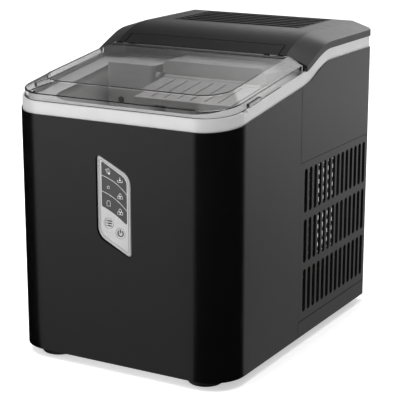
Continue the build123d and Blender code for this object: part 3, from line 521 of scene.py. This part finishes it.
def button_symbols():
    """List sign on the select button and power sign on the power button."""
    print_y = PANEL_FRONT + 0.0001
    heights = [SELECT_Z + up for up in (-0.0023, 0.0, 0.0023)]
    rows = [[(SELECT_X - 0.0014, z), (SELECT_X + 0.0031, z)] for z in heights]
    dots = [[(SELECT_X - 0.0033, z), (SELECT_X - 0.0028, z)] for z in heights]
    stroke("select_symbol", rows + dots, print_y, PRINT_RADIUS, PRINT, body="select_button")
    ring = arc((POWER_X, POWER_Z), 0.0027, 125, 415, 28)
    bar = [(POWER_X, POWER_Z + 0.0006), (POWER_X, POWER_Z + 0.0034)]
    stroke("power_symbol", [ring, bar], print_y, PRINT_RADIUS, PRINT, body="power_button")


def control_panel():
    """Rims, dividers and generic symbols on the control panel."""
    panel_rims()
    window_symbols()
    button_symbols()


# ------------------------------------------------------------------ lid
def rim_point(x, along, up):
    """Place given by its distance back along the sloping rim plane and its height above it."""
    y = FRONT_Y + along * math.cos(RIM_ANGLE) - up * math.sin(RIM_ANGLE)
    z = RIM_FRONT_Z + along * math.sin(RIM_ANGLE) + up * math.cos(RIM_ANGLE)
    return Vector((x, y, z))


def front_bend(half_x, front, radius):
    """Run round the two front corners of a plate on the rim, from the left side to the right side."""
    middle = front + radius
    left = arc((-half_x + radius, middle), radius, 180, 270, BEND_STEPS)
    right = arc((half_x - radius, middle), radius, 270, 360, BEND_STEPS)
    return [*left, *right]


def rim_bead(name, path, up, radius, material, body):
    """Thin round bead along a path on the rim plane."""
    curve = bpy.data.curves.new(name, "CURVE")
    curve.dimensions = "3D"
    curve.bevel_depth = radius
    curve.use_fill_caps = True
    spline = curve.splines.new("POLY")
    spline.points.add(len(path) - 1)
    for point, (x, along) in zip(spline.points, path):
        point.co = (*rim_point(x, along, up), 1)
    finish_piece(bpy.data.objects.new(name, curve), material, body)


def lid_rear_shade_strip():
    """Dark raised strip across the lid's flat top, along its hinge edge: painted shade that hides the
    highlight on the rib beneath it.
    """
    section = [(LID_TOP_REAR - 0.0055, 0.0001), (LID_TOP_REAR - 0.0052, 0.0004),
               (LID_TOP_REAR - 0.0004, 0.0004), (LID_TOP_REAR, 0.0001)]
    mesh = bpy.data.meshes.new("lid_rear_shade_strip")
    solid = bmesh.new()
    steps = 12
    rings = []
    for i in range(steps + 1):
        x = -LID_TOP_HALF_X + 0.001 + (2 * LID_TOP_HALF_X - 0.002) * i / steps
        rings.append([solid.verts.new(rim_point(x, along, LID_RISE + up)) for along, up in section])
    for first, second in zip(rings, rings[1:]):
        for i in range(4):
            j = (i + 1) % 4
            solid.faces.new((first[i], first[j], second[j], second[i]))
    solid.faces.new(rings[0][::-1])
    solid.faces.new(rings[-1])
    bmesh.ops.recalc_face_normals(solid, faces=solid.faces)
    solid.to_mesh(mesh)
    solid.free()
    finish_piece(bpy.data.objects.new("lid_rear_shade_strip", mesh), COVER, "lid")


def lid_details():
    """Dark seal in the gap round the lid, dark line along its top edge, and its rear strip of painted shade.
    """
    seal_inset = LID_INSET - 0.00045
    half = SIDE_X - seal_inset
    bend = front_bend(half, seal_inset, FRONT_RADIUS - seal_inset)
    path = [(-half, SEAL_REAR), *bend, (half, SEAL_REAR)]
    rim_bead("lid_seal", path, 0.0, SEAL_RADIUS, RUBBER, "machine")

    bend = front_bend(LID_TOP_HALF_X, LID_TOP_FRONT, LID_TOP_RADIUS)
    path = [*bend, (LID_TOP_HALF_X, TOP_EDGE_REAR)]
    rim_bead("lid_top_edge", path, LID_RISE - 0.0002, TOP_EDGE_RADIUS, PRINT, "lid")
    lid_rear_shade_strip()


control_panel()
lid_details()


# ------------------------------------------------------------------ studio
GLOW_AT_BODY = 0.46
GLOW_PER_METRE = 0.50
GLOW_MOST = 1.05
FAR_SIDE_DIMMING = 0.20

# Limits of the floor's dim parts, in degrees from straight ahead, positive towards the right side.
RIGHT_DIM = (-24, 144)
LEFT_DIM = (-150, -52)
FAR_DIM = (144, 215)

# Brightness of the surround by the upward part of the direction, from the horizon at 0 to overhead at 1.
SURROUND_LEVELS = ((0.15, 0.60), (0.26, 0.50), (0.38, 0.55), (0.46, 0.42), (0.55, 0.30), (0.74, 0.30),
                   (0.88, 0.36), (0.95, 1.0))
HORIZON_LEVEL = 0.60
OVERHEAD_LEVEL = 1.1
REAR_SOFTBOX = (0.06, 0.86, 0.505)

CAMERA_PLACE = (0.64385, -1.12612, 0.46950)
CAMERA_DIP = 14.78
CAMERA_TURN = 29.71


def flat_sheet(name, half, height, material):
    """Large level sheet that belongs to the studio."""
    mesh = bpy.data.meshes.new(name)
    corners = [(-half, -half, height), (half, -half, height), (half, half, height), (-half, half, height)]
    mesh.from_pydata(corners, [], [(0, 1, 2, 3)])
    mesh.materials.append(material)
    sheet = bpy.data.objects.new(name, mesh)
    bpy.context.scene.collection.objects.link(sheet)
    return sheet


def direction(tree, across_x, across_y, centre):
    """Direction of a floor place from a centre, in radians from -Y towards +X."""
    side = math_node(tree, "SUBTRACT", across_x, centre[0])
    ahead = math_node(tree, "SUBTRACT", centre[1], across_y)
    return math_node(tree, "ARCTAN2", side, ahead)


def between(tree, first_angle, first, last_angle, last, soft):
    """1 where one direction is past the first limit and the other is before the last, in degrees."""
    rise = smooth_between(tree, first_angle, math.radians(first - soft), math.radians(first + soft), 0, 1)
    fall = smooth_between(tree, last_angle, math.radians(last - soft), math.radians(last + soft), 1, 0)
    return math_node(tree, "MULTIPLY", rise, fall)


def outside(tree, across, half):
    """How far a floor place lies past the object's side on one axis."""
    past = math_node(tree, "SUBTRACT", math_node(tree, "ABSOLUTE", across), half)
    return math_node(tree, "MAXIMUM", past, 0)


def floor_glow():
    """Brightness of the floor as polished parts see it: dim near the object and off its front corners."""
    material = bpy.data.materials.new("floor_glow")
    material.use_nodes = True
    tree = material.node_tree
    tree.nodes.clear()
    place = tree.nodes.new("ShaderNodeTexCoord")
    split = tree.nodes.new("ShaderNodeSeparateXYZ")
    tree.links.new(place.outputs["Object"], split.inputs["Vector"])
    across_x, across_y = split.outputs["X"], split.outputs["Y"]
    squares = [math_node(tree, "POWER", outside(tree, across, half), 2)
               for across, half in ((across_x, SIDE_X), (across_y, REAR_Y))]
    reach = math_node(tree, "SQRT", math_node(tree, "ADD", *squares))
    glow = math_node(tree, "ADD", math_node(tree, "MULTIPLY", reach, GLOW_PER_METRE), GLOW_AT_BODY)
    glow = math_node(tree, "MINIMUM", glow, GLOW_MOST)
    corner_y = FRONT_Y + FRONT_RADIUS
    bend_x = SIDE_X - FRONT_RADIUS
    right_front = direction(tree, across_x, across_y, (bend_x, FRONT_Y))
    right_side = direction(tree, across_x, across_y, (SIDE_X, corner_y))
    left_front = direction(tree, across_x, across_y, (-bend_x, FRONT_Y))
    left_side = direction(tree, across_x, across_y, (-SIDE_X, corner_y))
    right = between(tree, right_front, RIGHT_DIM[0], right_side, RIGHT_DIM[1], 4)
    left = between(tree, left_side, LEFT_DIM[0], left_front, LEFT_DIM[1], 8)
    far_side = between(tree, right_side, FAR_DIM[0], right_side, FAR_DIM[1], 4)
    dimmed = math_node(tree, "MULTIPLY", far_side, FAR_SIDE_DIMMING)
    dark = math_node(tree, "MAXIMUM", math_node(tree, "MAXIMUM", right, left), dimmed)
    glow = math_node(tree, "MULTIPLY", glow, math_node(tree, "SUBTRACT", 1, dark))
    shader = tree.nodes.new("ShaderNodeEmission")
    tree.links.new(glow, shader.inputs["Strength"])
    output = tree.nodes.new("ShaderNodeOutputMaterial")
    tree.links.new(shader.outputs["Emission"], output.inputs["Surface"])
    return material


def studio():
    """Pale floor, and the graded sheet that only reflections see."""
    material, shader = new_material("floor_pale")
    shader.inputs["Base Color"].default_value = (0.9, 0.9, 0.9, 1)
    shader.inputs["Roughness"].default_value = 0.9
    shader.inputs["Specular IOR Level"].default_value = 0.1
    shader.inputs["Emission Color"].default_value = (1, 1, 1, 1)
    shader.inputs["Emission Strength"].default_value = 0.5
    flat_sheet("floor", 12.0, 0.0, material)
    card = flat_sheet("floor_reflection", 6.0, 0.0004, floor_glow())
    card.visible_camera = False
    card.visible_diffuse = False
    card.visible_shadow = False
    card.visible_transmission = False


def world_light():
    """Surround that brightens to the right behind the object, with a softbox high at the rear."""
    world = bpy.data.worlds.new("studio")
    bpy.context.scene.world = world
    world.use_nodes = True
    tree = world.node_tree
    place = tree.nodes.new("ShaderNodeTexCoord")
    split = tree.nodes.new("ShaderNodeSeparateXYZ")
    tree.links.new(place.outputs["Generated"], split.inputs["Vector"])
    shade = tree.nodes.new("ShaderNodeValToRGB")
    for position, level in SURROUND_LEVELS:
        stop = shade.color_ramp.elements.new(position)
        stop.color = (level, level, level, 1)
    shade.color_ramp.elements[0].color = (HORIZON_LEVEL, HORIZON_LEVEL, HORIZON_LEVEL, 1)
    shade.color_ramp.elements[-1].color = (OVERHEAD_LEVEL, OVERHEAD_LEVEL, OVERHEAD_LEVEL, 1)
    tree.links.new(split.outputs["Z"], shade.inputs["Fac"])
    facing = tree.nodes.new("ShaderNodeVectorMath")
    facing.operation = "DOT_PRODUCT"
    facing.inputs[1].default_value = REAR_SOFTBOX
    tree.links.new(place.outputs["Generated"], facing.inputs[0])
    softbox = smooth_between(tree, facing.outputs["Value"], 0.945, 0.98, 1.0, 4.5)
    behind = smooth_between(tree, split.outputs["X"], -0.53, -0.36, 0.35, 1.8)
    in_front = smooth_between(tree, split.outputs["Y"], 0.10, 0.35, 1.0, 0.0)
    beside = smooth_between(tree, split.outputs["X"], 0.15, 0.45, 1.0, 0.4)
    backdrop = math_node(tree, "MULTIPLY", math_node(tree, "MAXIMUM", behind, in_front), beside)
    background = tree.nodes["Background"]
    tree.links.new(shade.outputs["Color"], background.inputs["Color"])
    tree.links.new(math_node(tree, "MULTIPLY", backdrop, softbox), background.inputs["Strength"])


def area_light(name, place, target, size, power):
    """Square softbox pointed at a place."""
    data = bpy.data.lights.new(name, "AREA")
    data.size = size
    data.energy = power
    light = bpy.data.objects.new(name, data)
    light.location = place
    light.rotation_euler = (Vector(target) - Vector(place)).to_track_quat("-Z", "Y").to_euler()
    light.visible_glossy = False
    bpy.context.scene.collection.objects.link(light)


def camera():
    """Camera to the right of the front, looking down a little."""
    data = bpy.data.cameras.new("camera")
    data.lens = 124.4
    data.sensor_width = 36
    data.clip_start = 0.05
    view = bpy.data.objects.new("camera", data)
    view.location = CAMERA_PLACE
    view.rotation_euler = (math.radians(90 - CAMERA_DIP), 0, math.radians(CAMERA_TURN))
    bpy.context.scene.collection.objects.link(view)
    bpy.context.scene.camera = view


studio()
world_light()
area_light("softbox_top", (-0.3, -0.2, 1.9), (0, 0, 0), 1.6, 22)
area_light("softbox_left", (-1.8, -1.0, 1.3), (0, 0, 0.15), 1.2, 16)
camera()
bpy.context.scene.view_settings.view_transform = "Standard"
